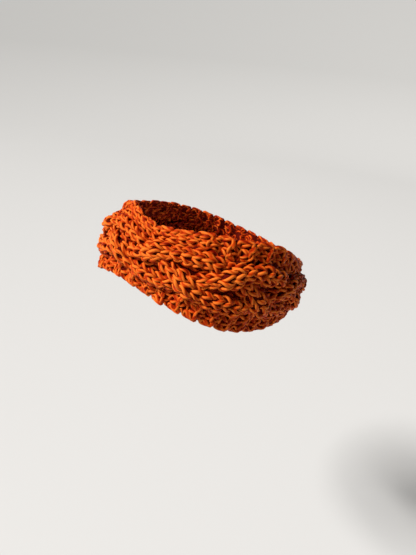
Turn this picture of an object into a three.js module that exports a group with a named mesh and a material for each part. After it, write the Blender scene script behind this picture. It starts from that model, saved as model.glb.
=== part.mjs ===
// A chunky knitted ear warmer headband in its worn form: one strip of knitting joined into a ring,
// with a plait of three ropes between two ridged borders. Millimetres and degrees, +Z up, -Y at the
// forehead, +X at the wearer's left ear. The origin is the middle of the opening for the head.
import * as THREE from "three";

// Opening for the head, measured to the inner face.
const OPENING_WIDTH = 156.4;
const OPENING_LENGTH = 172.2;
const OPENING_SQUARENESS = 2.32; // exponent of the outline: 2 is an ellipse, more is squarer

// The strip.
const BAND_HEIGHT = 77; // where it is highest, in front of the left ear
const BORDER_THICKNESS = 5.8;
const EDGE_ROUNDING = 3.2; // height that each rounded edge takes up
const BULGE_ANGLE = 20; // the wall's own bend from its lower edge to its upper edge

// How it sits: raised at the forehead and a little lower at the left ear.
const WORN_PITCH = 20.8;
const WORN_ROLL = 2.4;

// The plait.
const REPEATS = 9;
const ROWS_PER_REPEAT = 8;
const ROPE_SPACING = 3; // stitches from one rope's middle to the next
const ROPE_HALF_WIDTH = 1.9; // stitches, where a rope's side runs into the creases
const OVER_WIDTH = 0.3; // share by which the rope that passes over is wider
const UNDER_WIDTH = 0.35; // the same for the rope that passes under
const REST_WIDTH = 0.18; // the same for the rope beside a crossing
const REST_LEAN = 0.1; // share by which that rope leans towards the crossing
const ROPE_FLATNESS = 2.6; // exponent of a rope's rounded back: 2 is a parabola, more is flatter
const CABLE_STITCHES = 9;
const BORDER_STITCHES = 2;
const CREASE_THICKNESS = 5.2; // where two ropes meet
const ROPE_RISE = 6.6; // a rope's crest above the creases
const OVER_LIFT = 2.2; // added to the rope that passes over
const UNDER_DIP = 4; // taken from the rope that passes under
const CREASE_SOFTNESS = 0.5; // how gently neighbouring forms run into each other
const FIRST_CROSSING_ANGLE = 42.6; // middle of a crossing towards the upper edge

// Ridges of the borders, one for every two rows, at even rows below and at odd rows above.
const ROWS_PER_RIDGE = 2;
const RIDGE_HEIGHT = 1.1;
const SCALLOP = 0.7; // how far the edges swing outwards between their ridges

// Fineness of the mesh.
const STATIONS_PER_ROW = 2;
const BORDER_STEPS = 4;
const CABLE_STEPS = 16;
const EDGE_STEPS = 4;
const INNER_STEPS = 7;
const OUTLINE_STEPS = 1440;

// Sections round the ring, by the angle from the forehead towards the left ear. rise, height and the
// two borders are shares: rise and height of BAND_HEIGHT, the borders of the section's own height.
// stand is how far the section stands off the opening's outline, a share of the opening's width, and
// lean is how far its upper edge tips inwards.
const SECTIONS = [
  { angle: -150, rise: 0.026, height: 0.86, stand: 0, lean: 8.4, upper: 0.18, lower: 0.18 },
  { angle: -105, rise: 0.013, height: 0.91, stand: 0.01, lean: 7.3, upper: 0.18, lower: 0.18 },
  { angle: -60, rise: -0.05, height: 0.87, stand: 0.026, lean: 9, upper: 0.18, lower: 0.18 },
  { angle: -25, rise: 0.04, height: 0.79, stand: 0.015, lean: 3, upper: 0.17, lower: 0.19 },
  { angle: 0, rise: -0.014, height: 0.73, stand: 0, lean: -7.8, upper: 0.14, lower: 0.2 },
  { angle: 30, rise: 0.01, height: 0.905, stand: 0, lean: -6.6, upper: 0.16, lower: 0.2 },
  { angle: 65, rise: 0.021, height: 1, stand: 0, lean: -8, upper: 0.17, lower: 0.2 },
  { angle: 100, rise: -0.007, height: 0.76, stand: -0.012, lean: 0, upper: 0.17, lower: 0.2 },
  { angle: 145, rise: -0.025, height: 0.76, stand: -0.006, lean: 8.3, upper: 0.18, lower: 0.19 },
];

const YARN = { color: 0xd0511c, roughness: 0.85, metalness: 0 };

const radians = THREE.MathUtils.degToRad;
const rows = REPEATS * ROWS_PER_REPEAT;
const halfStitches = CABLE_STITCHES / 2 + BORDER_STITCHES;
const crestThickness = CREASE_THICKNESS + ROPE_RISE;
const yarnFinish = new THREE.MeshStandardMaterial(YARN);

// Sign times a power, so that a rounded outline keeps its four quarters alike.
function signedPower(value, exponent) {
  return Math.sign(value) * Math.abs(value) ** exponent;
}

// Outline of the inner face, level, before the ring is tilted: point and outward direction.
function outline(angle) {
  const across = Math.sin(angle);
  const along = -Math.cos(angle);
  const exponent = 2 / OPENING_SQUARENESS;
  const point = new THREE.Vector3(
    (OPENING_WIDTH / 2) * signedPower(across, exponent),
    (OPENING_LENGTH / 2) * signedPower(along, exponent),
    0,
  );
  const outward = new THREE.Vector3(across / OPENING_WIDTH, along / OPENING_LENGTH, 0).normalize();
  return { point, outward };
}

// Cumulative length round the ring at the crest of the ropes, so that rows can be spaced evenly.
function measureOutline() {
  const marks = [];
  let length = 0;
  let previous = null;
  for (let step = 0; step <= OUTLINE_STEPS; step += 1) {
    const angle = (step / OUTLINE_STEPS) * 2 * Math.PI;
    const { point, outward } = outline(angle);
    const place = point.addScaledVector(outward, crestThickness);
    if (previous) length += place.distanceTo(previous);
    marks.push({ angle, length });
    previous = place;
  }
  return marks;
}

const marks = measureOutline();
const crestLength = marks[OUTLINE_STEPS].length;

// Length from the forehead to an angle, and the angle at a length.
function lengthAt(angle) {
  const turns = angle / (2 * Math.PI);
  const step = (turns - Math.floor(turns)) * OUTLINE_STEPS;
  const low = Math.min(Math.floor(step), OUTLINE_STEPS - 1);
  return THREE.MathUtils.lerp(marks[low].length, marks[low + 1].length, step - low);
}

function angleAt(length) {
  const wanted = THREE.MathUtils.euclideanModulo(length, crestLength);
  let low = 0;
  let high = OUTLINE_STEPS;
  while (high - low > 1) {
    const middle = (low + high) >> 1;
    if (marks[middle].length <= wanted) low = middle;
    else high = middle;
  }
  const share = (wanted - marks[low].length) / (marks[high].length - marks[low].length);
  return THREE.MathUtils.lerp(marks[low].angle, marks[high].angle, share);
}

// One column of the section table at an angle, by a smooth periodic curve through its rows.
function sectionValue(column, angle) {
  const count = SECTIONS.length;
  const start = SECTIONS[0].angle;
  const degrees = start + THREE.MathUtils.euclideanModulo(THREE.MathUtils.radToDeg(angle) - start, 360);
  let index = count - 1;
  while (SECTIONS[index].angle > degrees) index -= 1;
  const knot = (offset) => {
    const wrapped = THREE.MathUtils.euclideanModulo(index + offset, count);
    const turn = Math.floor((index + offset) / count) * 360;
    return { at: SECTIONS[wrapped].angle + turn, value: SECTIONS[wrapped][column] };
  };
  const [before, from, to, after] = [knot(-1), knot(0), knot(1), knot(2)];
  const span = to.at - from.at;
  const slopeFrom = ((to.value - before.value) / (to.at - before.at)) * span;
  const slopeTo = ((after.value - from.value) / (after.at - from.at)) * span;
  const t = (degrees - from.at) / span;
  const t2 = t * t;
  const t3 = t2 * t;
  return (
    from.value * (2 * t3 - 3 * t2 + 1) +
    slopeFrom * (t3 - 2 * t2 + t) +
    to.value * (3 * t2 - 2 * t3) +
    slopeTo * (t3 - t2)
  );
}

const wornTurn = new THREE.Matrix4()
  .makeRotationY(radians(WORN_ROLL))
  .multiply(new THREE.Matrix4().makeRotationX(-radians(WORN_PITCH)));

// A point of the wall: across runs from -0.5 at the lower edge to 0.5 at the upper edge, and depth
// is measured outwards from the inner face.
function wallPoint(angle, across, depth) {
  const { point, outward } = outline(angle);
  const height = BAND_HEIGHT * sectionValue("height", angle);
  const rise = BAND_HEIGHT * sectionValue("rise", angle);
  const stand = OPENING_WIDTH * sectionValue("stand", angle);
  const lean = radians(sectionValue("lean", angle));
  const chord = lean + (radians(BULGE_ANGLE) * across) / 2;
  const tangent = lean + radians(BULGE_ANGLE) * across;
  const level = stand - Math.sin(chord) * across * height + Math.cos(tangent) * depth;
  const up = rise + Math.cos(chord) * across * height + Math.sin(tangent) * depth;
  return point.addScaledVector(outward, level).setZ(up).applyMatrix4(wornTurn);
}

// Stitch column, from -halfStitches at the lower edge, to the share of the height that it lies at.
function acrossAt(column, angle) {
  const lower = sectionValue("lower", angle);
  const upper = sectionValue("upper", angle);
  const cable = CABLE_STITCHES / 2;
  if (column < -cable) return -0.5 + (lower * (column + halfStitches)) / BORDER_STITCHES;
  if (column > cable) return 0.5 - (upper * (halfStitches - column)) / BORDER_STITCHES;
  return -0.5 + lower + (1 - lower - upper) * ((column + cable) / CABLE_STITCHES);
}

// The three ropes at a row: middle column, lift and half width of each. The middle rope passes over
// the upper rope, then half a repeat later over the lower one, and so on round the ring.
function ropesAt(row) {
  const half = ROWS_PER_REPEAT / 2;
  const phase = THREE.MathUtils.euclideanModulo(row + half / 2, ROWS_PER_REPEAT);
  const towards = phase < half ? 1 : -1;
  const share = (phase % half) / half;
  const turned = (Math.PI / 3) * (share - 0.5);
  const crossing = Math.sin(Math.PI * share) ** 2;
  return [
    {
      column: towards * ROPE_SPACING * Math.sin(turned + Math.PI / 6),
      lift: OVER_LIFT * crossing,
      halfWidth: ROPE_HALF_WIDTH * (1 + OVER_WIDTH * crossing),
    },
    {
      column: towards * ROPE_SPACING * Math.sin(Math.PI / 6 - turned),
      lift: -UNDER_DIP * crossing,
      halfWidth: ROPE_HALF_WIDTH * (1 + UNDER_WIDTH * crossing),
    },
    {
      column: -towards * ROPE_SPACING * Math.cos(turned) * (1 - REST_LEAN * crossing),
      lift: 0,
      halfWidth: ROPE_HALF_WIDTH * (1 + REST_WIDTH * crossing),
    },
  ];
}

// The largest of some heights, with the change from one to another softened.
function softLargest(heights) {
  const total = heights.reduce((sum, height) => sum + Math.exp(height / CREASE_SOFTNESS), 0);
  return CREASE_SOFTNESS * Math.log(total);
}

// Thickness of the wall at a row and a stitch column: a border's crown with its ridges, or the
// highest of the ropes there, each a rounded back that falls to the creases at its sides.
function thickness(row, column) {
  const wave = Math.cos((2 * Math.PI * row) / ROWS_PER_RIDGE);
  const ridge = (1 - Math.sign(column) * wave) / 2;
  const intoBorder = (Math.abs(column) - CABLE_STITCHES / 2) / BORDER_STITCHES;
  const crown = Math.sqrt(Math.sin(Math.PI * THREE.MathUtils.clamp(intoBorder, 0, 0.5)));
  const heights = [crown * (BORDER_THICKNESS - CREASE_THICKNESS + RIDGE_HEIGHT * ridge)];
  for (const rope of ropesAt(row)) {
    const off = Math.abs(column - rope.column) / rope.halfWidth;
    heights.push((ROPE_RISE + rope.lift) * Math.max(0, 1 - off ** ROPE_FLATNESS));
  }
  return CREASE_THICKNESS + softLargest(heights);
}

// Stitch columns of one section's outer face, from the lower edge to the upper edge.
function outerColumns() {
  const cable = CABLE_STITCHES / 2;
  const columns = [];
  for (let step = 0; step < BORDER_STEPS; step += 1) {
    columns.push(-halfStitches + (BORDER_STITCHES * step) / BORDER_STEPS);
  }
  for (let step = 0; step < CABLE_STEPS; step += 1) {
    columns.push(-cable + (CABLE_STITCHES * step) / CABLE_STEPS);
  }
  for (let step = 0; step <= BORDER_STEPS; step += 1) {
    columns.push(cable + (BORDER_STITCHES * step) / BORDER_STEPS);
  }
  return columns;
}

// One closed section: outer face upwards, over the upper edge, inner face downwards, and round the
// lower edge. The edges are half rounds whose height is EDGE_ROUNDING. Both swing up and down
// together, each outwards between two of its own ridges.
function section(row) {
  const start = lengthAt(radians(FIRST_CROSSING_ANGLE));
  const angle = angleAt(start + (crestLength * row) / rows);
  const height = BAND_HEIGHT * sectionValue("height", angle);
  const edge = EDGE_ROUNDING / height;
  const swing = (SCALLOP / height) * Math.cos((2 * Math.PI * row) / ROWS_PER_RIDGE);
  const straight = 1 - 2 * edge;
  const swung = (across) => across * straight + swing * (2 * across) ** 2;
  const points = [];
  for (const column of outerColumns()) {
    points.push(wallPoint(angle, swung(acrossAt(column, angle)), thickness(row, column)));
  }
  const rim = (side) => {
    const half = thickness(row, side * halfStitches) / 2;
    for (let step = 1; step < EDGE_STEPS; step += 1) {
      const turn = (Math.PI * step) / EDGE_STEPS;
      const across = swung(side / 2) + side * edge * Math.sin(turn);
      points.push(wallPoint(angle, across, half * (1 + side * Math.cos(turn))));
    }
  };
  rim(1);
  for (let step = 0; step <= INNER_STEPS; step += 1) {
    points.push(wallPoint(angle, swung(0.5 - step / INNER_STEPS), 0));
  }
  rim(-1);
  return points;
}

// The ring: sections joined to their neighbours, the last one to the first. Each four-cornered
// field is split along its shorter diagonal, so that the facets follow the ropes.
function knitBand() {
  const stations = rows * STATIONS_PER_ROW;
  const sections = Array.from({ length: stations }, (_, station) => section(station / STATIONS_PER_ROW));
  const points = sections.flat();
  const perSection = sections[0].length;
  const faces = [];
  for (let station = 0; station < stations; station += 1) {
    const next = (station + 1) % stations;
    for (let index = 0; index < perSection; index += 1) {
      const beside = (index + 1) % perSection;
      const a = station * perSection + index;
      const b = next * perSection + index;
      const c = next * perSection + beside;
      const d = station * perSection + beside;
      if (points[a].distanceTo(points[c]) < points[b].distanceTo(points[d])) {
        faces.push(a, b, c, a, c, d);
      } else {
        faces.push(a, b, d, b, c, d);
      }
    }
  }
  const geometry = new THREE.BufferGeometry().setFromPoints(points);
  geometry.setIndex(faces);
  geometry.computeVertexNormals();
  const band = new THREE.Mesh(geometry, yarnFinish);
  band.name = "knit_band";
  return band;
}

const headband = new THREE.Group();
headband.name = "ear_warmer_headband";
headband.add(knitBand());

export default headband;
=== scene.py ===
import math

import bpy
import numpy as np
from mathutils import Matrix, Vector


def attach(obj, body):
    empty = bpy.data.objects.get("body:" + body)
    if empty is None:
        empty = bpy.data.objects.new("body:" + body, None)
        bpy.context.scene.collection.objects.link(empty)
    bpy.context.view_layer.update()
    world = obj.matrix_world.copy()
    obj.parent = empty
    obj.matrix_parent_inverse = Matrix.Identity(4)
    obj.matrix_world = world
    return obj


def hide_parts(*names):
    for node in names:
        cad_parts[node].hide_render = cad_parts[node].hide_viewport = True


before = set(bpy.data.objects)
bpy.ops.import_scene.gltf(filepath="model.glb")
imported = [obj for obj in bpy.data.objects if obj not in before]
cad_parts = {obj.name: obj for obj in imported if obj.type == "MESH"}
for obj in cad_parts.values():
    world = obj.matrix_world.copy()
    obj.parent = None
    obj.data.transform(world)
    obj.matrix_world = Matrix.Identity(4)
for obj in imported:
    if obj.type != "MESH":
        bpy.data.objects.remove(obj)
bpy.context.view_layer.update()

bl_info = {
    "name": "Knitted ear warmer headband",
    "version": (1, 0, 0),
    "blender": (4, 5, 0),
    "location": "3D View > Sidebar > Headband",
    "description": "Knits a plaited ear warmer headband loop by loop, with its yarn, floor and light",
    "category": "Object",
}

MM = 0.001

# The ring that the strip of knitting lies on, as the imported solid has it, in millimetres and degrees.
# The front of the ring is at -Y, and +X is to the left as it is worn.
OPENING_WIDTH = 156.4
OPENING_LENGTH = 172.2
OPENING_SQUARENESS = 2.32
BULGE_ANGLE = 20.0
WORN_PITCH = 20.8
WORN_ROLL = 2.4
BAND_HEIGHT = 77.0
CREST_THICKNESS = 11.8
FIRST_CROSSING_ANGLE = 42.6
OUTLINE_STEPS = 5760

# The strip: rows run round the ring, stitches run across it.
ROWS = 72
ROWS_PER_REPEAT = 8
BORDER_STITCHES = 2
ROPE_STITCHES = 3
ROPES = 3
CABLE_STITCHES = ROPE_STITCHES * ROPES
STITCHES = CABLE_STITCHES + 2 * BORDER_STITCHES

# Height of a border that is a flat hem, and of one that shows its ridges in full, in millimetres.
HEM_HEIGHT = 9.5
RIDGED_HEIGHT = 11.5

# Sections round the ring, by the angle from the front towards +X. Rise and height are shares of
# BAND_HEIGHT, the borders are shares of the section's own height, stand is how far the section stands
# off the outline, a share of the opening's width, and lean is how far its upper edge tips inwards.
SECTIONS = {
    "angle": [-150, -105, -60, -25, 0, 30, 65, 100, 145],
    "rise": [0.026, 0.013, -0.05, 0.04, -0.014, 0.01, 0.021, -0.007, -0.025],
    "height": [0.86, 0.91, 0.87, 0.79, 0.73, 0.905, 1, 0.76, 0.76],
    "stand": [0, 0.01, 0.026, 0.015, 0, 0, 0, -0.012, -0.006],
    "lean": [8.4, 7.3, 9, 3, -7.8, -6.6, -8, 0, 8.3],
    "upper": [0.18, 0.18, 0.18, 0.17, 0.14, 0.16, 0.17, 0.17, 0.18],
    "lower": [0.18, 0.18, 0.18, 0.19, 0.2, 0.2, 0.2, 0.2, 0.19],
}

# The camera of the photograph: angles in degrees and lengths in metres, the sensor in millimetres, the
# frame and the focal length in pixels.
CAMERA_AZIMUTH = 33.346
CAMERA_ELEVATION = 29.112
CAMERA_ROLL = 5.817
CAMERA_DISTANCE = 0.379677
CAMERA_RIGHT = -0.005033
CAMERA_UP = -0.019465
CAMERA_AIM = (0.00878, -0.00791, 0.010112)
CAMERA_CLIP = (0.01, 50.0)
SENSOR = 36.0
FRAME_HEIGHT = 555
FOCAL_PIXELS = 415.432

# Heights above the inner face, in millimetres, for the painted crease shade: from the darkest painted
# shade to the palest yarn, and the height that the borders count as.
CREASE_LEVEL = 2.0
BORDER_LEVEL = 7.0
CREST_LEVEL = 11.0

# How the yarn strays: the number of waves, the fewest and most of them in a stitch, for its path and
# for its thickness, the share by which it thickens, and its shares of the unevenness along the row,
# across it and up. A stitch counts as STITCH_WIDTH millimetres there.
STRAY_WAVES = 24
PATH_TURNS = (0.08, 0.7)
THICKNESS_TURNS = (0.1, 0.9)
THICKNESS_SHARE = 0.07
STRAY_ALONG = 0.8
STRAY_ACROSS = 0.5
STRAY_UP = 0.6
STITCH_WIDTH = 6

# Where heads fill out the edges: stitches from the edge, and half the width of that place. Then the
# stitches over which a border's loops turn into a rope's, and the lift that shows which way is out.
EDGE_PLACE = 0.37
EDGE_WIDTH = 0.25
BORDER_BLEND = 0.4
OUTWARD_STEP = 0.5

# The dark layer of painted shade that fills the gaps between loops: its fineness, and the stitches
# over which borders run into the ropes.
CORE_ROWS = 288
CORE_COLUMNS = 79
CORE_BLEND = 0.5

# The yarn's tone: shares of plies, which paint shade into their grooves, of fibres and of patches,
# its shift, the height at which the painted crease shade leaves it as it is, and where its three
# colours lie. Then the grain of fibres and patches, round the yarn and along it, the relief of plies
# and fibres, how much glossier fibres get, and the tints of sheen and gloss.
PLY_SHADE_SHARE = 0.34
FIBRE_SHARE = 0.7
PATCH_SHARE = 0.75
TONE_SHIFT = -0.37
EVEN_CREST = 0.62
TONE_STOPS = (0.30, 0.52, 0.78)
FIBRE_ROUND = 2.2
FIBRE_ALONG = 130
FIBRE_SCALE = 2.4
PATCH_ROUND = 0.3
PATCH_ALONG = 60
PLY_RELIEF = 0.45
FIBRE_RELIEF = 0.55
RELIEF_DEPTH = 0.0006
FIBRE_GLOSS = 0.12
SHEEN_TINT = (1.0, 0.4, 0.15, 1)
GLOSS_TINT = (1.0, 0.62, 0.32, 1)

# The dark layer of painted shade between the loops: grain, relief and the colour of its darkest part.
SHADE_FILL_SCALE = 900.0
SHADE_FILL_DEPTH = 0.0005
SHADE_FILL_DARKEST = (0.05, 0.003, 0.001, 1)

# The stage, in metres: the radii of the floor's flat part and of its first ring, its rings and spokes,
# the distances over which it darkens, the side that the light comes from, and the colours of the
# lights and the far room.
FLAT_RADIUS = 3.0
INNER_RADIUS = 0.4
SLOPE_RINGS = 13
SPOKES = 64
DARKEN_FROM, DARKEN_TO = 0.5, 6.0
KEY_SIDE = (-0.44, -0.62, 0.83)
KEY_COLOUR = (1.0, 0.98, 0.95)
ROOM_COLOUR = (1.0, 0.96, 0.92, 1)
FAR_ROOM_COLOUR = (0.64, 0.64, 0.635, 1)

# Outputs of Blender's Texture Coordinate and Attribute nodes.
OBJECT_COORDINATES = 3
ATTRIBUTE_FACTOR = 2


def signed_power(value, exponent):
    """Sign times a power, so that a rounded outline keeps its four quarters alike."""
    return np.sign(value) * np.abs(value) ** exponent


def outline(angle):
    """Outline of the opening and its outward direction: x = W/2 sin^(2/n), y = -L/2 cos^(2/n)."""
    across, along = np.sin(angle), -np.cos(angle)
    exponent = 2 / OPENING_SQUARENESS
    point = np.stack([
        OPENING_WIDTH / 2 * signed_power(across, exponent),
        OPENING_LENGTH / 2 * signed_power(along, exponent),
        np.zeros_like(angle),
    ], -1)
    outward = np.stack([across / OPENING_WIDTH, along / OPENING_LENGTH, np.zeros_like(angle)], -1)
    return point, outward / np.linalg.norm(outward, axis=-1, keepdims=True)


def measure_outline():
    """Angles round the ring and the length along the crest of the ropes up to each."""
    angle = np.linspace(0, 2 * np.pi, OUTLINE_STEPS + 1)
    point, outward = outline(angle)
    place = point + CREST_THICKNESS * outward
    steps = np.linalg.norm(np.diff(place, axis=0), axis=1)
    return angle, np.concatenate([[0], np.cumsum(steps)])


MARK_ANGLES, MARK_LENGTHS = measure_outline()
CREST_LENGTH = MARK_LENGTHS[-1]
ROW_PITCH = CREST_LENGTH / ROWS
FIRST_LENGTH = np.interp(math.radians(FIRST_CROSSING_ANGLE), MARK_ANGLES, MARK_LENGTHS)


def angle_of_row(row):
    """Angle from the front of a place along the strip, in rows, evenly spaced by length."""
    length = np.mod(FIRST_LENGTH + ROW_PITCH * row, CREST_LENGTH)
    return np.interp(length, MARK_LENGTHS, MARK_ANGLES)


def section_value(column, angle):
    """One column of the section table, by a periodic cubic Hermite curve through its rows."""
    knots = np.array(SECTIONS["angle"], float)
    values = np.array(SECTIONS[column], float)
    knots = np.concatenate([knots[-2:] - 360, knots, knots[:3] + 360])
    values = np.concatenate([values[-2:], values, values[:3]])
    start = SECTIONS["angle"][0]
    degrees = start + np.mod(np.degrees(angle) - start, 360)
    low = np.searchsorted(knots, degrees, side="right") - 1
    span = knots[low + 1] - knots[low]
    slope_from = (values[low + 1] - values[low - 1]) / (knots[low + 1] - knots[low - 1]) * span
    slope_to = (values[low + 2] - values[low]) / (knots[low + 2] - knots[low]) * span
    t = (degrees - knots[low]) / span
    return (
        values[low] * (2 * t**3 - 3 * t**2 + 1)
        + slope_from * (t**3 - 2 * t**2 + t)
        + values[low + 1] * (3 * t**2 - 2 * t**3)
        + slope_to * (t**3 - t**2)
    )


def wall_point(angle, across, depth):
    """Point of the wall: across is -0.5 to 0.5 of the height, depth is outwards from the inner face."""
    point, outward = outline(angle)
    height = BAND_HEIGHT * section_value("height", angle)
    rise = BAND_HEIGHT * section_value("rise", angle)
    stand = OPENING_WIDTH * section_value("stand", angle)
    lean = np.radians(section_value("lean", angle))
    chord = lean + math.radians(BULGE_ANGLE) * across / 2
    tangent = lean + math.radians(BULGE_ANGLE) * across
    level = stand - np.sin(chord) * across * height + np.cos(tangent) * depth
    up = rise + np.cos(chord) * across * height + np.sin(tangent) * depth
    place = point + outward * level[..., None]
    place[..., 2] = up
    roll, pitch = math.radians(WORN_ROLL), -math.radians(WORN_PITCH)
    turn = np.array(Matrix.Rotation(roll, 3, "Y") @ Matrix.Rotation(pitch, 3, "X"))
    return place @ turn.T


def across_of_column(column, angle):
    """Share of the height at which a stitch column lies, from the lower edge to the upper edge."""
    lower, upper = section_value("lower", angle), section_value("upper", angle)
    cable, half = CABLE_STITCHES / 2, STITCHES / 2
    return np.where(
        column < -cable,
        -0.5 + lower * (column + half) / BORDER_STITCHES,
        np.where(
            column > cable,
            0.5 - upper * (half - column) / BORDER_STITCHES,
            -0.5 + lower + (1 - lower - upper) * (column + cable) / CABLE_STITCHES,
        ),
    )


def border_ridged(row, upper):
    """How far a border shows its ridges: where it narrows to a hem, its legs lie in front instead."""
    angle = angle_of_row(row)
    share = np.where(upper, section_value("upper", angle), section_value("lower", angle))
    room = BAND_HEIGHT * section_value("height", angle) * share
    ridged = np.clip((room - HEM_HEIGHT) / (RIDGED_HEIGHT - HEM_HEIGHT), 0, 1)
    return ridged**2 * (3 - 2 * ridged)


def crossing_side(row):
    """How near a crossing a row is: 1 where the upper ropes cross, -1 where the lower ones do."""
    place = row * 2 / ROWS_PER_REPEAT + 0.5
    turn = np.floor(place)
    return np.sin(np.pi * (place - turn)) ** 2 * np.where(turn % 2 == 0, 1, -1)


def rope_path(rope, row):
    """Column, column change for each row, crossing share and resting share of a rope of the plait.

    Half a repeat each, it goes over its neighbour to an edge, rests there, then goes back under. The
    crossing share is above 0 as it goes over and below 0 as it goes under. The resting share lets it
    swell into the room that the other two leave.
    """
    half = ROWS_PER_REPEAT // 2
    place = row / half + 0.5
    turn = np.floor(place).astype(int)
    share = place - turn
    towards = np.where(turn % 2 == 0, 1, -1)
    role = (turn + rope) % 3
    crossing = np.sin(np.pi * share) ** 2
    turned = np.pi / 3 * (share - 0.5)
    column = towards * ROPE_STITCHES * np.choose(role, [
        np.sin(turned + np.pi / 6), -np.cos(turned), np.sin(np.pi / 6 - turned)])
    slope = towards * ROPE_STITCHES * np.pi / 3 / half * np.choose(role, [
        np.cos(turned + np.pi / 6), np.sin(turned), -np.cos(np.pi / 6 - turned)])
    resting = np.choose(role, [0 * crossing, crossing, 0 * crossing])
    crossing = np.choose(role, [crossing, 0 * crossing, -crossing])
    return column, slope, crossing, resting


def rope_shape(sizes, pitch, crossing, resting):
    """Half width, rise and foot depth of a rope's arch in millimetres, and how far its path leans in."""
    over, under = np.maximum(crossing, 0), np.maximum(-crossing, 0)
    wider = 1 + sizes.over_width * over + sizes.under_width * under + sizes.rest_width * resting
    half_width = ROPE_STITCHES / 2 * pitch * wider - sizes.rope_inset
    rise = sizes.rope_rise * (1 + sizes.over_swell * over - sizes.under_flat * under)
    depth = sizes.rope_depth + sizes.over_lift * over - sizes.under_dip * under
    return half_width, rise, depth, 1 - sizes.rest_lean * resting


class Strip:
    """The knitted strip as a fabric: row, stitch and lift above it, to a point in millimetres.

    The arrays have a line for each row of knitting, so the order of the ropes is kept for each row.
    """

    def __init__(self, sizes):
        self.sizes = sizes
        middles = np.arange(ROWS) + 0.5
        self.order = np.argsort([rope_path(rope, middles)[0] for rope in range(ROPES)], axis=0)

    def border(self, row, stitch, lift):
        """A border, flat in its section: the stitch column gives across, the lift adds to the depth.

        Where two ropes cross beside it, its inner stitches are pulled in to them.
        """
        angle = angle_of_row(row)
        column = (stitch - STITCHES / 2) * self.sizes.edge_share
        inner = np.clip((STITCHES / 2 - np.abs(column)) / BORDER_STITCHES, 0, 1)
        pull = np.maximum(np.sign(column) * crossing_side(row), 0)
        column = column - np.sign(column) * self.sizes.border_pull * inner * pull
        point = wall_point(angle, across_of_column(column, angle), self.sizes.border_depth + lift)
        return point, np.full_like(column, BORDER_LEVEL)

    def rope(self, slot, row, stitch, lift):
        """A rope: its stitches lie round an arch, and its middle follows the plait.

        Across the rope the place is a sin(f) and the depth is z + b cos(f), where f runs with the
        stitch, and the lift goes along the arch's normal (sin(f)/a, cos(f)/b). Rows turn with the rope.
        """
        sizes = self.sizes
        rope = self.order[slot][:, None]
        column, slope, crossing, resting = rope_path(rope, row)
        angle = angle_of_row(row)
        height = BAND_HEIGHT * section_value("height", angle)
        share = 1 - section_value("lower", angle) - section_value("upper", angle)
        pitch = height * share / CABLE_STITCHES
        half_width, rise, depth, lean = rope_shape(sizes, pitch, crossing, resting)
        column = column * lean
        turn = (stitch - BORDER_STITCHES - slot * ROPE_STITCHES) / ROPE_STITCHES - 0.5
        turn = 2 * turn * math.radians(sizes.rope_arc)
        side = half_width * np.sin(turn)
        normal = np.stack([np.sin(turn) / half_width, np.cos(turn) / rise])
        normal /= np.linalg.norm(normal, axis=0)
        row = row - sizes.row_turn * slope * pitch * side / ROW_PITCH**2
        angle = angle_of_row(row)
        across = across_of_column(column, angle) + (side + normal[0] * lift) / height
        level = depth + rise * np.cos(turn)
        return wall_point(angle, across, level + normal[1] * lift), level

    def place(self, row, stitch, way, lift):
        """Point and height above the inner face anywhere on the strip.

        Its borders and ropes are zones, which run into each other where the yarn passes between them.
        """
        edges = BORDER_STITCHES + ROPE_STITCHES * np.arange(ROPES + 1)
        soft = self.sizes.zone_blend
        steps = [np.clip((way - edge) / soft + 0.5, 0, 1) for edge in edges]
        steps = [np.ones_like(way)] + [s * s * (3 - 2 * s) for s in steps] + [np.zeros_like(way)]
        place, height = 0, 0
        for zone in range(ROPES + 2):
            if zone in (0, ROPES + 1):
                point, level = self.border(row, stitch, lift)
            else:
                point, level = self.rope(zone - 1, row, stitch, lift)
            share = steps[zone] - steps[zone + 1]
            place = place + point * share[..., None]
            height = height + level * share
        return place, height


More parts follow.
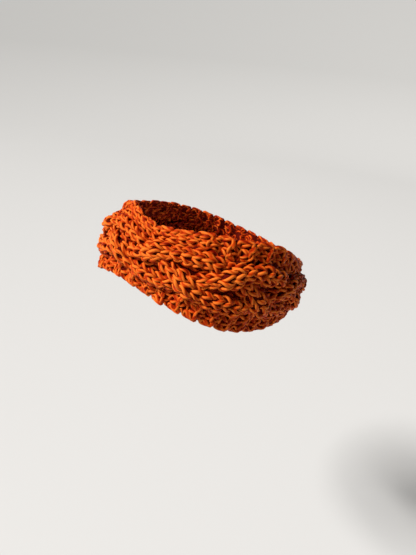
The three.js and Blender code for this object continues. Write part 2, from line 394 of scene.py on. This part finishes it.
class HeadbandKnitting(bpy.types.PropertyGroup):
    """Sizes of the knitting, in millimetres where a size has a unit."""

    yarn_radius: bpy.props.FloatProperty(
        name="Yarn radius", description="Half the thickness of the yarn, mm", default=1.38, min=0.5)
    leg_swell: bpy.props.FloatProperty(
        name="Leg swell", description="How much a loop tapers between legs and ends", default=0.1)
    ply_depth: bpy.props.FloatProperty(
        name="Ply depth", description="Depth of the ply grooves, share of radius", default=0.13)
    ply_turn: bpy.props.FloatProperty(
        name="Ply turn", description="Length of yarn for one full turn of the plies, mm", default=20)
    plies: bpy.props.IntProperty(name="Plies", description="Strands twisted together", default=2, min=1)
    sides: bpy.props.IntProperty(name="Sides", description="Corners of the yarn's section", default=12)
    steps: bpy.props.IntProperty(name="Steps", description="Rings of the yarn for a stitch", default=24)
    loop_reach: bpy.props.FloatProperty(
        name="Loop reach", description="Half the height of a loop, in rows", default=0.76)
    loop_lean: bpy.props.FloatProperty(
        name="Loop lean", description="How far heads and feet spread, in stitches", default=0.27)
    loop_depth: bpy.props.FloatProperty(
        name="Loop depth", description="Half the way from legs to heads, mm", default=1.8)
    ridge_reach: bpy.props.FloatProperty(
        name="Ridge reach", description="Half the height of a border's loop, in rows", default=0.6)
    ridge_depth: bpy.props.FloatProperty(
        name="Ridge depth", description="Half the way from valley to ridge, mm", default=1.7)
    ridge_groove: bpy.props.FloatProperty(
        name="Ridge groove", description="How far legs fall behind the ridges, mm", default=0.9)
    edge_bulge: bpy.props.FloatProperty(
        name="Edge bulge", description="How far the yarn swings out at edges, stitches", default=0.06)
    edge_reach: bpy.props.FloatProperty(
        name="Edge reach", description="How far the yarn runs on along edges, rows", default=0.15)
    edge_fill: bpy.props.FloatProperty(
        name="Edge fill", description="How far heads move out between swings, stitches", default=0.14)
    edge_calm: bpy.props.FloatProperty(
        name="Edge calm", description="Share by which the ridges flatten at the edges", default=0.5)
    edge_share: bpy.props.FloatProperty(
        name="Edge share", description="Width of the strip without the bulges", default=0.965)
    border_pull: bpy.props.FloatProperty(
        name="Border pull", description="How far crossings pull borders in, stitches", default=0.9)
    border_depth: bpy.props.FloatProperty(
        name="Border depth", description="Middle of the borders above the inner face, mm", default=3.6)
    rope_depth: bpy.props.FloatProperty(
        name="Rope foot depth", description="Sides of a rope above the inner face, mm", default=1.7)
    rope_rise: bpy.props.FloatProperty(
        name="Rope rise", description="Crest of a rope above its sides, mm", default=7.2)
    rope_inset: bpy.props.FloatProperty(
        name="Rope inset", description="How far a rope keeps inside its share, mm", default=2.2)
    rope_arc: bpy.props.FloatProperty(
        name="Rope arc", description="Angle of a rope's arch from middle to side, degrees", default=84)
    over_lift: bpy.props.FloatProperty(
        name="Over lift", description="Lift of the rope that passes over, mm", default=2.8)
    over_swell: bpy.props.FloatProperty(
        name="Over swell", description="Extra arch of the rope that passes over", default=0.05)
    over_width: bpy.props.FloatProperty(
        name="Over width", description="Extra width of the rope that passes over", default=0.35)
    rest_width: bpy.props.FloatProperty(
        name="Rest width", description="Extra width of the rope beside a crossing", default=0.22)
    rest_lean: bpy.props.FloatProperty(
        name="Rest lean", description="Share by which that rope leans to the crossing", default=0.1)
    under_dip: bpy.props.FloatProperty(
        name="Under dip", description="Dip of the rope that passes under, mm", default=2.4)
    under_flat: bpy.props.FloatProperty(
        name="Under flatness", description="How far that rope's arch is pressed flat", default=0.45)
    under_width: bpy.props.FloatProperty(
        name="Under width", description="Extra width of the rope that passes under", default=0.45)
    row_turn: bpy.props.FloatProperty(
        name="Row turn", description="How far rows turn with a slanting rope", default=0.6)
    zone_blend: bpy.props.FloatProperty(
        name="Zone blend", description="Stitches over which ropes run into each other", default=0.3)
    # The core: a dark layer of painted shade that fills the gaps between the loops; these sizes shape
    # it.
    core_half: bpy.props.FloatProperty(
        name="Core thickness", description="Half the thickness of the matted fibres, mm", default=0.4)
    core_offset: bpy.props.FloatProperty(
        name="Core height", description="Matted fibres over the loops' middle, mm", default=0.3)
    core_floor: bpy.props.FloatProperty(
        name="Core floor", description="Least height of the fibres' middle, mm", default=-0.6)
    core_sink: bpy.props.FloatProperty(
        name="Core sink", description="How much deeper fibres lie in the borders, mm", default=1.3)
    core_wave: bpy.props.FloatProperty(
        name="Core wave", description="How far fibres follow the borders' ridges, mm", default=1.1)
    core_margin: bpy.props.FloatProperty(
        name="Core margin", description="Stitches from the fibres to the edge", default=0.05)
    jitter: bpy.props.FloatProperty(
        name="Unevenness", description="How far the yarn strays from an even loop, mm", default=0.75)
    seed: bpy.props.IntProperty(name="Seed", description="Start of the random numbers", default=7)


class HeadbandYarn(bpy.types.PropertyGroup):
    """Colours and finish of the yarn."""

    # The palest stop: the yarn's own pale fibres and patches, and painted highlight on crests and outer
    # sides.
    light: bpy.props.FloatVectorProperty(
        name="Light strands", description="Colour of the palest strands", subtype="COLOR",
        size=4, default=(0.69, 0.148, 0.016, 1))
    main: bpy.props.FloatVectorProperty(
        name="Main colour", description="Colour of most of the yarn", subtype="COLOR",
        size=4, default=(0.44, 0.033, 0.001, 1))
    # The darkest stop: the yarn's own dark fibres and patches, and painted shade in ply grooves, creases
    # and inner sides; the layer of painted shade uses it too.
    deep: bpy.props.FloatVectorProperty(
        name="Deep strands", description="Colour between the plies", subtype="COLOR",
        size=4, default=(0.15, 0.0035, 0.0008, 1))
    # Painted light: how much paler the strands are painted on the side that faces out of the fabric.
    painted_outer_light: bpy.props.FloatProperty(
        name="Pale side", description="How much paler the yarn is on its outer side", default=0.08)
    # Painted crease shade: how much darker the yarn is painted where it lies low, in creases and under
    # crossing ropes.
    painted_crease_shade: bpy.props.FloatProperty(
        name="Deep creases", description="How much deeper the yarn is in the creases", default=0.36)
    roughness: bpy.props.FloatProperty(
        name="Roughness", description="Roughness of the strands", default=0.48, subtype="FACTOR")
    sheen: bpy.props.FloatProperty(
        name="Sheen", description="Weight of the fine fuzz", default=0.01, subtype="FACTOR")


class HeadbandStage(bpy.types.PropertyGroup):
    """Floor and light."""

    floor_drop: bpy.props.FloatProperty(
        name="Floor", description="Height of the floor", default=-0.56, unit="LENGTH")
    slope: bpy.props.FloatProperty(
        name="Slope", description="Slope of the floor far from the headband", default=0.27)
    floor_colour: bpy.props.FloatVectorProperty(
        name="Floor colour", description="Colour of the floor", subtype="COLOR",
        size=4, default=(0.58, 0.578, 0.575, 1))
    far_colour: bpy.props.FloatVectorProperty(
        name="Far colour", description="Colour of the floor far away", subtype="COLOR",
        size=4, default=(0.415, 0.415, 0.411, 1))
    key_strength: bpy.props.FloatProperty(
        name="Key light", description="Strength of the light from the upper left", default=6.0)
    key_width: bpy.props.FloatProperty(
        name="Key width", description="Width of that light, which softens shadows",
        default=math.radians(16), subtype="ANGLE")
    world: bpy.props.FloatProperty(
        name="Room light", description="Strength of the light from all round", default=0.03)


class Socket:
    """A value of the node tree: operators on it add Math nodes."""

    def __init__(self, graph, link):
        self.graph, self.link = graph, link

    def math(self, operation, *values):
        return self.graph.node("ShaderNodeMath", {"operation": operation}, *values)[0]

    def __add__(self, other):
        return self.math("ADD", self, other)

    def __sub__(self, other):
        return self.math("SUBTRACT", self, other)

    def __mul__(self, other):
        return self.math("MULTIPLY", self, other)

    def __rsub__(self, other):
        return self.math("SUBTRACT", other, self)

    __radd__ = __add__
    __rmul__ = __mul__


class Graph:
    """A material's node tree."""

    def __init__(self, name):
        self.material = bpy.data.materials.new(name)
        self.material.use_nodes = True
        self.tree = self.material.node_tree
        self.tree.nodes.clear()

    def node(self, kind, settings=None, *values, **named):
        """Adds a node, sets its settings, then its sockets by order or by name; gives its outputs."""
        made = self.tree.nodes.new(kind)
        for key, value in (settings or {}).items():
            if key == "stops":
                while len(made.color_ramp.elements) < len(value):
                    made.color_ramp.elements.new(1)
                for element, (position, colour) in zip(made.color_ramp.elements, value):
                    element.position, element.color = position, colour
            else:
                setattr(made, key, value)
        inputs = [(made.inputs[i], v) for i, v in enumerate(values)]
        inputs += [(made.inputs[k.replace("_", " ")], v) for k, v in named.items()]
        for socket, value in inputs:
            if isinstance(value, Socket):
                self.tree.links.new(value.link, socket)
            elif value is not None:
                socket.default_value = value
        return [Socket(self, output) for output in made.outputs]


def yarn_material(look, knitting):
    """Twisted yarn: plies and fibres run along it on its own map, in metres along and turns round.

    Its tone sums plies, fibres, patches, painted light on the outer side and painted crease shade.
    """
    g = Graph("burnt_orange_yarn")
    uv = g.node("ShaderNodeUVMap", {"uv_map": "along_yarn"})[0]
    along, round_, _ = g.node("ShaderNodeSeparateXYZ", None, uv)
    turn = round_ * math.tau
    twist = turn - along * (math.tau / (knitting.ply_turn * MM))
    # The crest attribute is the height in the plait: it sets painted shade low down and paler crests.
    crest = g.node("ShaderNodeAttribute", {"attribute_name": "crest"})[ATTRIBUTE_FACTOR]
    # 1 on the side of a strand that faces out of the fabric, which is painted paler as if lit.
    facing = turn.math("COSINE", turn)
    ply = twist.math("COSINE", twist * knitting.plies) * 0.5 + 0.5
    ring_x, ring_y = twist.math("COSINE", twist), twist.math("SINE", twist)
    fibre_place = g.node(
        "ShaderNodeCombineXYZ", None, ring_x * FIBRE_ROUND, ring_y * FIBRE_ROUND, along * FIBRE_ALONG)[0]
    fibre = g.node("ShaderNodeTexNoise", None, Vector=fibre_place, Scale=FIBRE_SCALE, Detail=3.0)[0]
    patch_place = g.node(
        "ShaderNodeCombineXYZ", None, ring_x * PATCH_ROUND, ring_y * PATCH_ROUND, along * PATCH_ALONG)[0]
    patch = g.node("ShaderNodeTexNoise", None, Vector=patch_place, Scale=1.0, Detail=2.0)[0]
    # Plies paint shade into their grooves; fibres and patches are the yarn's own uneven tone.
    grain = ply * PLY_SHADE_SHARE + fibre * FIBRE_SHARE + patch * PATCH_SHARE
    shift = TONE_SHIFT - look.painted_crease_shade * EVEN_CREST
    stops = list(zip(TONE_STOPS, (tuple(look.deep), tuple(look.main), tuple(look.light))))
    tone = g.node(
        "ShaderNodeValToRGB", {"stops": stops},
        grain + facing * look.painted_outer_light + crest * look.painted_crease_shade + shift)[0]
    bump = g.node(
        "ShaderNodeBump", None, Strength=0.55, Distance=RELIEF_DEPTH,
        Height=ply * PLY_RELIEF + fibre * FIBRE_RELIEF)[0]
    shader = g.node(
        "ShaderNodeBsdfPrincipled", None, Base_Color=tone, Normal=bump,
        Roughness=(look.roughness + FIBRE_GLOSS / 2) - fibre * FIBRE_GLOSS,
        Sheen_Weight=look.sheen, Sheen_Roughness=0.4, Sheen_Tint=SHEEN_TINT,
        Specular_IOR_Level=0.07, Specular_Tint=GLOSS_TINT)[0]
    g.node("ShaderNodeOutputMaterial", None, shader)
    return g.material


def shade_fill_material(look):
    """A dark, dull, fine layer of painted shade deep between the loops."""
    g = Graph("painted_shade_fill")
    place = g.node("ShaderNodeTexCoord")[OBJECT_COORDINATES]
    noise = g.node("ShaderNodeTexNoise", None, Vector=place, Scale=SHADE_FILL_SCALE, Detail=4.0)[0]
    tone = g.node(
        "ShaderNodeValToRGB", {"stops": [(0.35, SHADE_FILL_DARKEST), (0.85, tuple(look.deep))]}, noise)[0]
    bump = g.node("ShaderNodeBump", None, Strength=0.6, Distance=SHADE_FILL_DEPTH, Height=noise)[0]
    shader = g.node(
        "ShaderNodeBsdfPrincipled", None, Base_Color=tone, Roughness=0.9, Normal=bump,
        Specular_IOR_Level=0.05)[0]
    g.node("ShaderNodeOutputMaterial", None, shader)
    return g.material


def floor_material(stage):
    """A plain pale surface that darkens a little from its middle outwards."""
    g = Graph("pale_floor")
    place = g.node("ShaderNodeTexCoord")[OBJECT_COORDINATES]
    reach = g.node("ShaderNodeVectorMath", {"operation": "LENGTH"}, place)[1]
    share = reach * (1 / (DARKEN_TO - DARKEN_FROM)) + DARKEN_FROM / (DARKEN_FROM - DARKEN_TO)
    stops = [(0, tuple(stage.floor_colour)), (1, tuple(stage.far_colour))]
    tone = g.node("ShaderNodeValToRGB", {"stops": stops}, share)[0]
    shader = g.node("ShaderNodeBsdfPrincipled", None, Base_Color=tone, Roughness=0.65)[0]
    g.node("ShaderNodeOutputMaterial", None, shader)
    return g.material


def stray(way, total, turns_range, rng):
    """A smooth wandering number along the closed yarn: a sum of sines with whole turns over it all."""
    fewest, most = (int(turns * total) for turns in turns_range)
    turns = rng.integers(fewest, most, STRAY_WAVES)
    starts = rng.uniform(0, 2 * np.pi, STRAY_WAVES)
    waves = np.sin(2 * np.pi * turns * way[..., None] / total + starts)
    return waves.sum(-1) * math.sqrt(2 / STRAY_WAVES)


def row_loops(sizes, rows):
    """The yarn's loops, by row and sample: way, stitch, row, lift and the angle that swells its legs.

    In a stitch of the path parameter t, the place is t + A sin(4 pi t) stitches along the row and
    -B cos(2 pi t) rows up. In the ropes both ends of a loop lie behind its legs, -D cos(4 pi t) out.
    In the borders every other row is purled: -G cos(2 pi t) - H sin(4 pi t)^2 out for a knit row and
    G cos(2 pi t) - H sin(4 pi t)^2 for a purl row, so that heads and feet stand out in one ridge.
    The upper border is purled where the lower one is knit. A border that narrows to a hem has its
    legs in front, as the ropes have.
    """
    upwards = rows % 2 == 0
    share = np.arange(sizes.steps * STITCHES)[None] / sizes.steps
    way = np.where(upwards, share, STITCHES - share)
    loop = way * 2 * np.pi
    into_ropes = CABLE_STITCHES / 2 - np.abs(way - STITCHES / 2)
    inside = np.clip(into_ropes / BORDER_BLEND + 0.5, 0, 1)

    near_edge = np.minimum(way, STITCHES - way)
    corner = np.clip(1 - np.abs(near_edge - EDGE_PLACE) / EDGE_WIDTH, 0, 1) ** 2
    stitch = way + sizes.loop_lean * np.sin(2 * loop)
    stitch = stitch + sizes.edge_fill * corner * np.sign(way - STITCHES / 2)

    begin = np.clip(1 - 2 * np.where(upwards, way, STITCHES - way), 0, 1)
    finish = np.clip(1 - 2 * np.where(upwards, STITCHES - way, way), 0, 1)
    begin, finish = begin**2 * (3 - 2 * begin), finish**2 * (3 - 2 * finish)
    reach = sizes.ridge_reach + (sizes.loop_reach - sizes.ridge_reach) * inside
    row = rows + 0.5 - reach * np.cos(loop) + sizes.edge_reach * (begin - finish)

    knit = ridge_side(rows) * np.where(way > STITCHES / 2, -1, 1)
    ridge = -sizes.ridge_depth * knit * np.cos(loop) - sizes.ridge_groove * np.sin(2 * loop) ** 2
    ridge = ridge * (1 - sizes.edge_calm * (begin + finish))
    ridged = border_ridged(rows + 0.5, way > STITCHES / 2)
    ridge = ridge * ridged - sizes.ridge_groove * np.cos(2 * loop) * (1 - ridged)
    lift = ridge + (-sizes.loop_depth * np.cos(2 * loop) - ridge) * inside
    return way, stitch, row, lift, 2 * loop


def edge_turns(sizes, rows):
    """The same five for the half turn that the yarn makes round the edge at the end of each row.

    At the angle f of the turn it swings C sin(f) stitches out and (1 - cos(f)) / 2 rows on.
    """
    upwards = rows % 2 == 0
    turn_steps = sizes.steps // 2
    arc = np.pi * np.arange(turn_steps)[None] / turn_steps
    ease = 0.5 - 0.5 * np.cos(arc)
    side = np.where(upwards, 1, -1)
    way = np.where(upwards, STITCHES, 0) + 0 * arc
    stitch = way + side * sizes.edge_bulge * np.sin(arc)
    row = rows + 0.5 - sizes.ridge_reach + ease + sizes.edge_reach * (2 * ease - 1)
    lift = side * ridge_side(rows) * sizes.ridge_depth * (1 - sizes.edge_calm) * np.cos(arc)
    return way, stitch, row, lift, 0 * row


def ridge_side(rows):
    """1 for a row that is knit in the lower border, and -1 for one that is purled there."""
    return np.where(rows % 2 == 1, 1, -1)


def yarn_course(strip, sizes, rng):
    """The yarn through every row: points, outward directions, radii and crest height for painted shade.

    Sums of sines move it along, across and up and vary its thickness. Its legs swell by cos(2 f).
    """
    rows = np.arange(ROWS)[:, None]
    courses = zip(row_loops(sizes, rows), edge_turns(sizes, rows))
    way, stitch, row, lift, leg = (np.concatenate(parts, 1) for parts in courses)
    path = np.arange(way.size).reshape(way.shape) / sizes.steps
    total = way.size / sizes.steps
    sway = [sizes.jitter * stray(path, total, PATH_TURNS, rng) for _ in range(3)]
    row = row + sway[0] * STRAY_ALONG / ROW_PITCH
    stitch = stitch + sway[1] * STRAY_ACROSS / STITCH_WIDTH
    lift = lift + sway[2] * STRAY_UP
    place, height = strip.place(row, stitch, way, lift)
    above, _ = strip.place(row, stitch, way, lift + OUTWARD_STEP)
    # 0 in creases and under crossing ropes, 1 on high crests: it sets the painted shade of the yarn.
    crest = np.maximum(height - CREASE_LEVEL, 0) / (CREST_LEVEL - CREASE_LEVEL)
    outward = above - place
    outward /= np.linalg.norm(outward, axis=-1, keepdims=True)
    radius = sizes.yarn_radius * (1 + sizes.leg_swell * np.cos(2 * leg))
    radius = radius * (1 + THICKNESS_SHARE * stray(path, total, THICKNESS_TURNS, rng))
    return place, outward, radius, crest


def tube(points, outward, radius, along, sizes):
    """A profile carried along a path: a ring of corners at each point, and a cap at each end.

    A corner stands radius (1 + g cos(k (f - twist))) from the path, at the angle f from the outward
    direction, where k is the number of plies and g the depth of their grooves.
    """
    tangent = np.gradient(points, axis=0)
    tangent /= np.linalg.norm(tangent, axis=1, keepdims=True)
    first = outward - tangent * (outward * tangent).sum(1, keepdims=True)
    first /= np.linalg.norm(first, axis=1, keepdims=True)
    second = np.cross(tangent, first)
    count, sides = len(points), sizes.sides
    angle = 2 * np.pi * np.arange(sides) / sides
    twist = 2 * np.pi * along[:, None] / sizes.ply_turn
    reach = radius[:, None] * (1 + sizes.ply_depth * np.cos(sizes.plies * (angle - twist)))
    ring = np.cos(angle)[None, :, None] * first[:, None] + np.sin(angle)[None, :, None] * second[:, None]
    corners = (points[:, None] + reach[..., None] * ring).reshape(-1, 3)
    corners = np.concatenate([corners, points[:1], points[-1:]])

    step, side = np.meshgrid(np.arange(count - 1), np.arange(sides), indexing="ij")
    beside = (side + 1) % sides
    quads = np.stack([
        step * sides + side, step * sides + beside,
        (step + 1) * sides + beside, (step + 1) * sides + side,
    ], -1).reshape(-1, 4)
    edge = np.arange(sides)
    start, end = count * sides, count * sides + 1
    last = (count - 1) * sides
    caps = np.concatenate([
        np.stack([np.full(sides, start), (edge + 1) % sides, edge], 1),
        np.stack([np.full(sides, end), last + edge, last + (edge + 1) % sides], 1),
    ])
    lengths = along * MM
    u = np.stack([lengths[step], lengths[step], lengths[step + 1], lengths[step + 1]], -1)
    v = np.stack([side, side + 1, side + 1, side], -1) / sides
    uv = np.stack([u.reshape(-1), v.reshape(-1)], 1)
    cap_uv = np.zeros((caps.size, 2))
    return corners * MM, quads, caps, np.concatenate([uv, cap_uv])


def make_mesh(name, corners, quads, caps, uv):
    """A mesh of four-cornered faces and three-cornered caps, shaded smooth, with its map."""
    mesh = bpy.data.meshes.new(name)
    loops = np.concatenate([quads.reshape(-1), caps.reshape(-1)]).astype(np.int32)
    starts = np.concatenate([
        4 * np.arange(len(quads)), 4 * len(quads) + 3 * np.arange(len(caps))]).astype(np.int32)
    mesh.vertices.add(len(corners))
    mesh.loops.add(len(loops))
    mesh.polygons.add(len(starts))
    mesh.vertices.foreach_set("co", corners.astype(np.float32).reshape(-1))
    mesh.loops.foreach_set("vertex_index", loops)
    mesh.polygons.foreach_set("loop_start", starts)
    mesh.update(calc_edges=True)
    mesh.validate()
    layer = mesh.uv_layers.new(name="along_yarn")
    layer.data.foreach_set("uv", uv.astype(np.float32).reshape(-1))
    mesh.shade_smooth()
    return mesh


def shade_fill_layer(sizes):
    """Sections through the layer of painted shade, round the ring: outer face upwards, inner face
    downwards.

    The depth at a row and column is a border's, or the highest of the ropes' arches there, which are
    z + b sqrt(1 - (off / a)^2) deep. The layer has half its thickness to each side of it.
    """
    row, column = np.meshgrid(
        ROWS * np.arange(CORE_ROWS) / CORE_ROWS,
        (STITCHES / 2 - sizes.core_margin) * np.linspace(-1, 1, CORE_COLUMNS), indexing="ij")
    angle = angle_of_row(row)
    height = BAND_HEIGHT * section_value("height", angle)
    cable_share = 1 - section_value("lower", angle) - section_value("upper", angle)
    pitch = height * cable_share / CABLE_STITCHES
    middle = np.full_like(row, sizes.core_floor)
    for rope in range(ROPES):
        place, _, crossing, resting = rope_path(rope, row)
        half_width, rise, depth, lean = rope_shape(sizes, pitch, crossing, resting)
        off = (column - place * lean) * pitch / half_width
        middle = np.maximum(middle, depth + rise * np.sqrt(np.clip(1 - off**2, 0, 1)))
    pull = sizes.border_pull * np.maximum(np.sign(column) * crossing_side(row), 0)
    border = np.clip((np.abs(column) + pull - CABLE_STITCHES / 2) / CORE_BLEND, 0, 1)
    ridge = np.cos(np.pi * row) * np.where(column > 0, -1, 1) * sizes.core_wave
    middle = middle + (sizes.border_depth - sizes.core_sink + ridge - middle) * border
    middle = middle + sizes.core_offset
    across = across_of_column(column * sizes.edge_share, angle)
    outer = wall_point(angle, across, middle + sizes.core_half)
    inner = wall_point(angle, across, middle - sizes.core_half)
    return np.concatenate([outer, inner[:, ::-1]], 1)


def ring_faces(rows, around):
    """Faces of a closed ring: each corner of a section joined to the next corner and section."""
    step, side = np.meshgrid(np.arange(rows), np.arange(around), indexing="ij")
    after, beside = (step + 1) % rows, (side + 1) % around
    return np.stack([
        step * around + side, after * around + side,
        after * around + beside, step * around + beside], -1).reshape(-1, 4)


def add_piece(context, mesh, material):
    """Puts a finished mesh into the scene, on the root body and in place of the plain solid."""
    mesh.materials.append(material)
    piece = bpy.data.objects.new(mesh.name, mesh)
    context.scene.collection.objects.link(piece)
    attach(piece, "root")
    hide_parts("knit_band")


class HEADBAND_OT_knitting(bpy.types.Operator):
    """Knit the strip, in four lengths of yarn that meet at the lower edge"""

    bl_idname = "headband.knitting"
    bl_label = "Knit the strip"
    lengths = 4

    def execute(self, context):
        sizes = context.scene.headband_knitting
        rng = np.random.default_rng(sizes.seed)
        place, outward, radius, crest = yarn_course(Strip(sizes), sizes, rng)
        place, outward = place.reshape(-1, 3), outward.reshape(-1, 3)
        radius, crest = radius.reshape(-1), crest.reshape(-1)
        closed = np.concatenate([place, place[:1]])
        along = np.concatenate([[0], np.cumsum(np.linalg.norm(np.diff(closed, axis=0), axis=1))])
        whole_turns = round(along[-1] / sizes.ply_turn)
        along *= whole_turns * sizes.ply_turn / along[-1]
        material = yarn_material(context.scene.headband_yarn, sizes)
        samples = len(place)
        for part in range(self.lengths):
            start, end = (samples * bound // self.lengths for bound in (part, part + 1))
            index = np.arange(start, end + 1)
            around = index % samples
            yarn = tube(place[around], outward[around], radius[around], along[index], sizes)
            mesh = make_mesh(f"knitting_{part + 1}", *yarn)
            # Each corner keeps its point's crest height, for the painted crease shade.
            heights = np.concatenate([np.repeat(crest[around], sizes.sides), crest[around[[0, -1]]]])
            mesh.attributes.new("crest", "FLOAT", "POINT").data.foreach_set("value", heights)
            add_piece(context, mesh, material)
        return {"FINISHED"}


class HEADBAND_OT_core(bpy.types.Operator):
    """Lay a dark layer of painted shade that fills the gaps between the loops, as one thin closed layer
    """

    bl_idname = "headband.core"
    bl_label = "Fill the gaps"

    def execute(self, context):
        layer = shade_fill_layer(context.scene.headband_knitting)
        quads = ring_faces(*layer.shape[:2])
        no_caps = np.zeros((0, 3), int)
        no_map = np.zeros((quads.size, 2))
        mesh = make_mesh("gap_shade_fill", layer.reshape(-1, 3) * MM, quads, no_caps, no_map)
        add_piece(context, mesh, shade_fill_material(context.scene.headband_yarn))
        return {"FINISHED"}


class HEADBAND_OT_stage(bpy.types.Operator):
    """Lay the floor, set the light and place the camera"""

    bl_idname = "headband.stage"
    bl_label = "Set the stage"

    def execute(self, context):
        stage = context.scene.headband_stage
        self.floor(context, stage)
        self.lights(context, stage)
        self.camera(context)
        return {"FINISHED"}

    def floor(self, context, stage):
        """A round floor, flat as far as r0 = 3 m, then rising by s (sqrt(1 + (r - r0)^2) - 1)."""
        slope = FLAT_RADIUS + np.linspace(0, 3, SLOPE_RINGS) ** 2
        reach = np.concatenate([[INNER_RADIUS, FLAT_RADIUS / 2], slope])
        beyond = np.maximum(reach - FLAT_RADIUS, 0)
        up = stage.slope * (np.sqrt(1 + beyond**2) - 1) + stage.floor_drop
        turn = 2 * np.pi * np.arange(SPOKES) / SPOKES
        rings = np.stack([
            reach[:, None] * np.cos(turn), reach[:, None] * np.sin(turn), up[:, None] + 0 * turn], -1)
        corners = np.concatenate([rings.reshape(-1, 3), [[0, 0, stage.floor_drop]]])
        ring, spoke = np.meshgrid(np.arange(len(reach) - 1), np.arange(SPOKES), indexing="ij")
        beside = (spoke + 1) % SPOKES
        faces = np.stack([
            ring * SPOKES + spoke, (ring + 1) * SPOKES + spoke,
            (ring + 1) * SPOKES + beside, ring * SPOKES + beside], -1).reshape(-1, 4).tolist()
        middle = len(corners) - 1
        faces += [[middle, spoke, (spoke + 1) % SPOKES] for spoke in range(SPOKES)]
        mesh = bpy.data.meshes.new("pale_floor")
        mesh.from_pydata(corners.tolist(), [], faces)
        mesh.shade_smooth()
        mesh.materials.append(floor_material(stage))
        floor = bpy.data.objects.new("pale_floor", mesh)
        context.scene.collection.objects.link(floor)

    def lights(self, context, stage):
        """An even, soft-edged light from the upper left, and a weak one from all round."""
        data = bpy.data.lights.new("key_light", "SUN")
        data.energy, data.angle, data.color = stage.key_strength, stage.key_width, KEY_COLOUR
        light = bpy.data.objects.new("key_light", data)
        light.rotation_euler = (-Vector(KEY_SIDE)).to_track_quat("-Z", "Y").to_euler()
        context.scene.collection.objects.link(light)
        world = bpy.data.worlds.new("studio")
        world.use_nodes = True
        nodes, links = world.node_tree.nodes, world.node_tree.links
        lit, seen = nodes["Background"], nodes.new("ShaderNodeBackground")
        lit.inputs["Color"].default_value = ROOM_COLOUR
        lit.inputs["Strength"].default_value = stage.world
        seen.inputs["Color"].default_value = FAR_ROOM_COLOUR
        path, mix = nodes.new("ShaderNodeLightPath"), nodes.new("ShaderNodeMixShader")
        links.new(path.outputs["Is Camera Ray"], mix.inputs[0])
        links.new(lit.outputs[0], mix.inputs[1])
        links.new(seen.outputs[0], mix.inputs[2])
        links.new(mix.outputs[0], nodes["World Output"].inputs["Surface"])
        context.scene.world = world
        context.scene.view_settings.view_transform = "Standard"

    def camera(self, context):
        """The photograph's view: an orbit round the ring, slid sideways and rolled."""
        azimuth, elevation = math.radians(CAMERA_AZIMUTH), math.radians(CAMERA_ELEVATION)
        back = Vector((
            math.sin(azimuth) * math.cos(elevation),
            -math.cos(azimuth) * math.cos(elevation),
            math.sin(elevation),
        ))
        right = (-back).cross(Vector((0, 0, 1))).normalized()
        up = right.cross(-back)
        roll = math.radians(CAMERA_ROLL)
        right, up = (
            math.cos(roll) * right + math.sin(roll) * up,
            -math.sin(roll) * right + math.cos(roll) * up,
        )
        place = Vector(CAMERA_AIM) + back * CAMERA_DISTANCE + right * CAMERA_RIGHT + up * CAMERA_UP
        data = bpy.data.cameras.new("photo_view")
        data.sensor_width = SENSOR
        data.lens = FOCAL_PIXELS / FRAME_HEIGHT * SENSOR
        data.clip_start, data.clip_end = CAMERA_CLIP
        camera = bpy.data.objects.new("photo_view", data)
        turn = Matrix((right, up, back)).transposed()
        camera.matrix_world = Matrix.Translation(place) @ turn.to_4x4()
        context.scene.collection.objects.link(camera)
        context.scene.camera = camera


class HEADBAND_PT_panel(bpy.types.Panel):
    """Sizes, colours and the steps that make the headband"""

    bl_idname = "HEADBAND_PT_panel"
    bl_label = "Knitted headband"
    bl_space_type = "VIEW_3D"
    bl_region_type = "UI"
    bl_category = "Headband"

    def draw(self, context):
        scene = context.scene
        groups = (
            (scene.headband_knitting, HeadbandKnitting),
            (scene.headband_yarn, HeadbandYarn),
            (scene.headband_stage, HeadbandStage),
        )
        for values, group in groups:
            box = self.layout.box()
            for name in group.__annotations__:
                box.prop(values, name)
        for operator in (HEADBAND_OT_knitting, HEADBAND_OT_core, HEADBAND_OT_stage):
            self.layout.operator(operator.bl_idname)


CLASSES = (
    HeadbandKnitting,
    HeadbandYarn,
    HeadbandStage,
    HEADBAND_OT_knitting,
    HEADBAND_OT_core,
    HEADBAND_OT_stage,
    HEADBAND_PT_panel,
)
GROUPS = {
    "headband_knitting": HeadbandKnitting,
    "headband_yarn": HeadbandYarn,
    "headband_stage": HeadbandStage,
}


def register():
    for made in CLASSES:
        bpy.utils.register_class(made)
    for name, group in GROUPS.items():
        setattr(bpy.types.Scene, name, bpy.props.PointerProperty(type=group))


def unregister():
    for name in GROUPS:
        delattr(bpy.types.Scene, name)
    for made in reversed(CLASSES):
        bpy.utils.unregister_class(made)


def main():
    register()
    bpy.ops.headband.stage()
    bpy.ops.headband.knitting()
    bpy.ops.headband.core()
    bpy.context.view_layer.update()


if __name__ == "__main__":
    main()
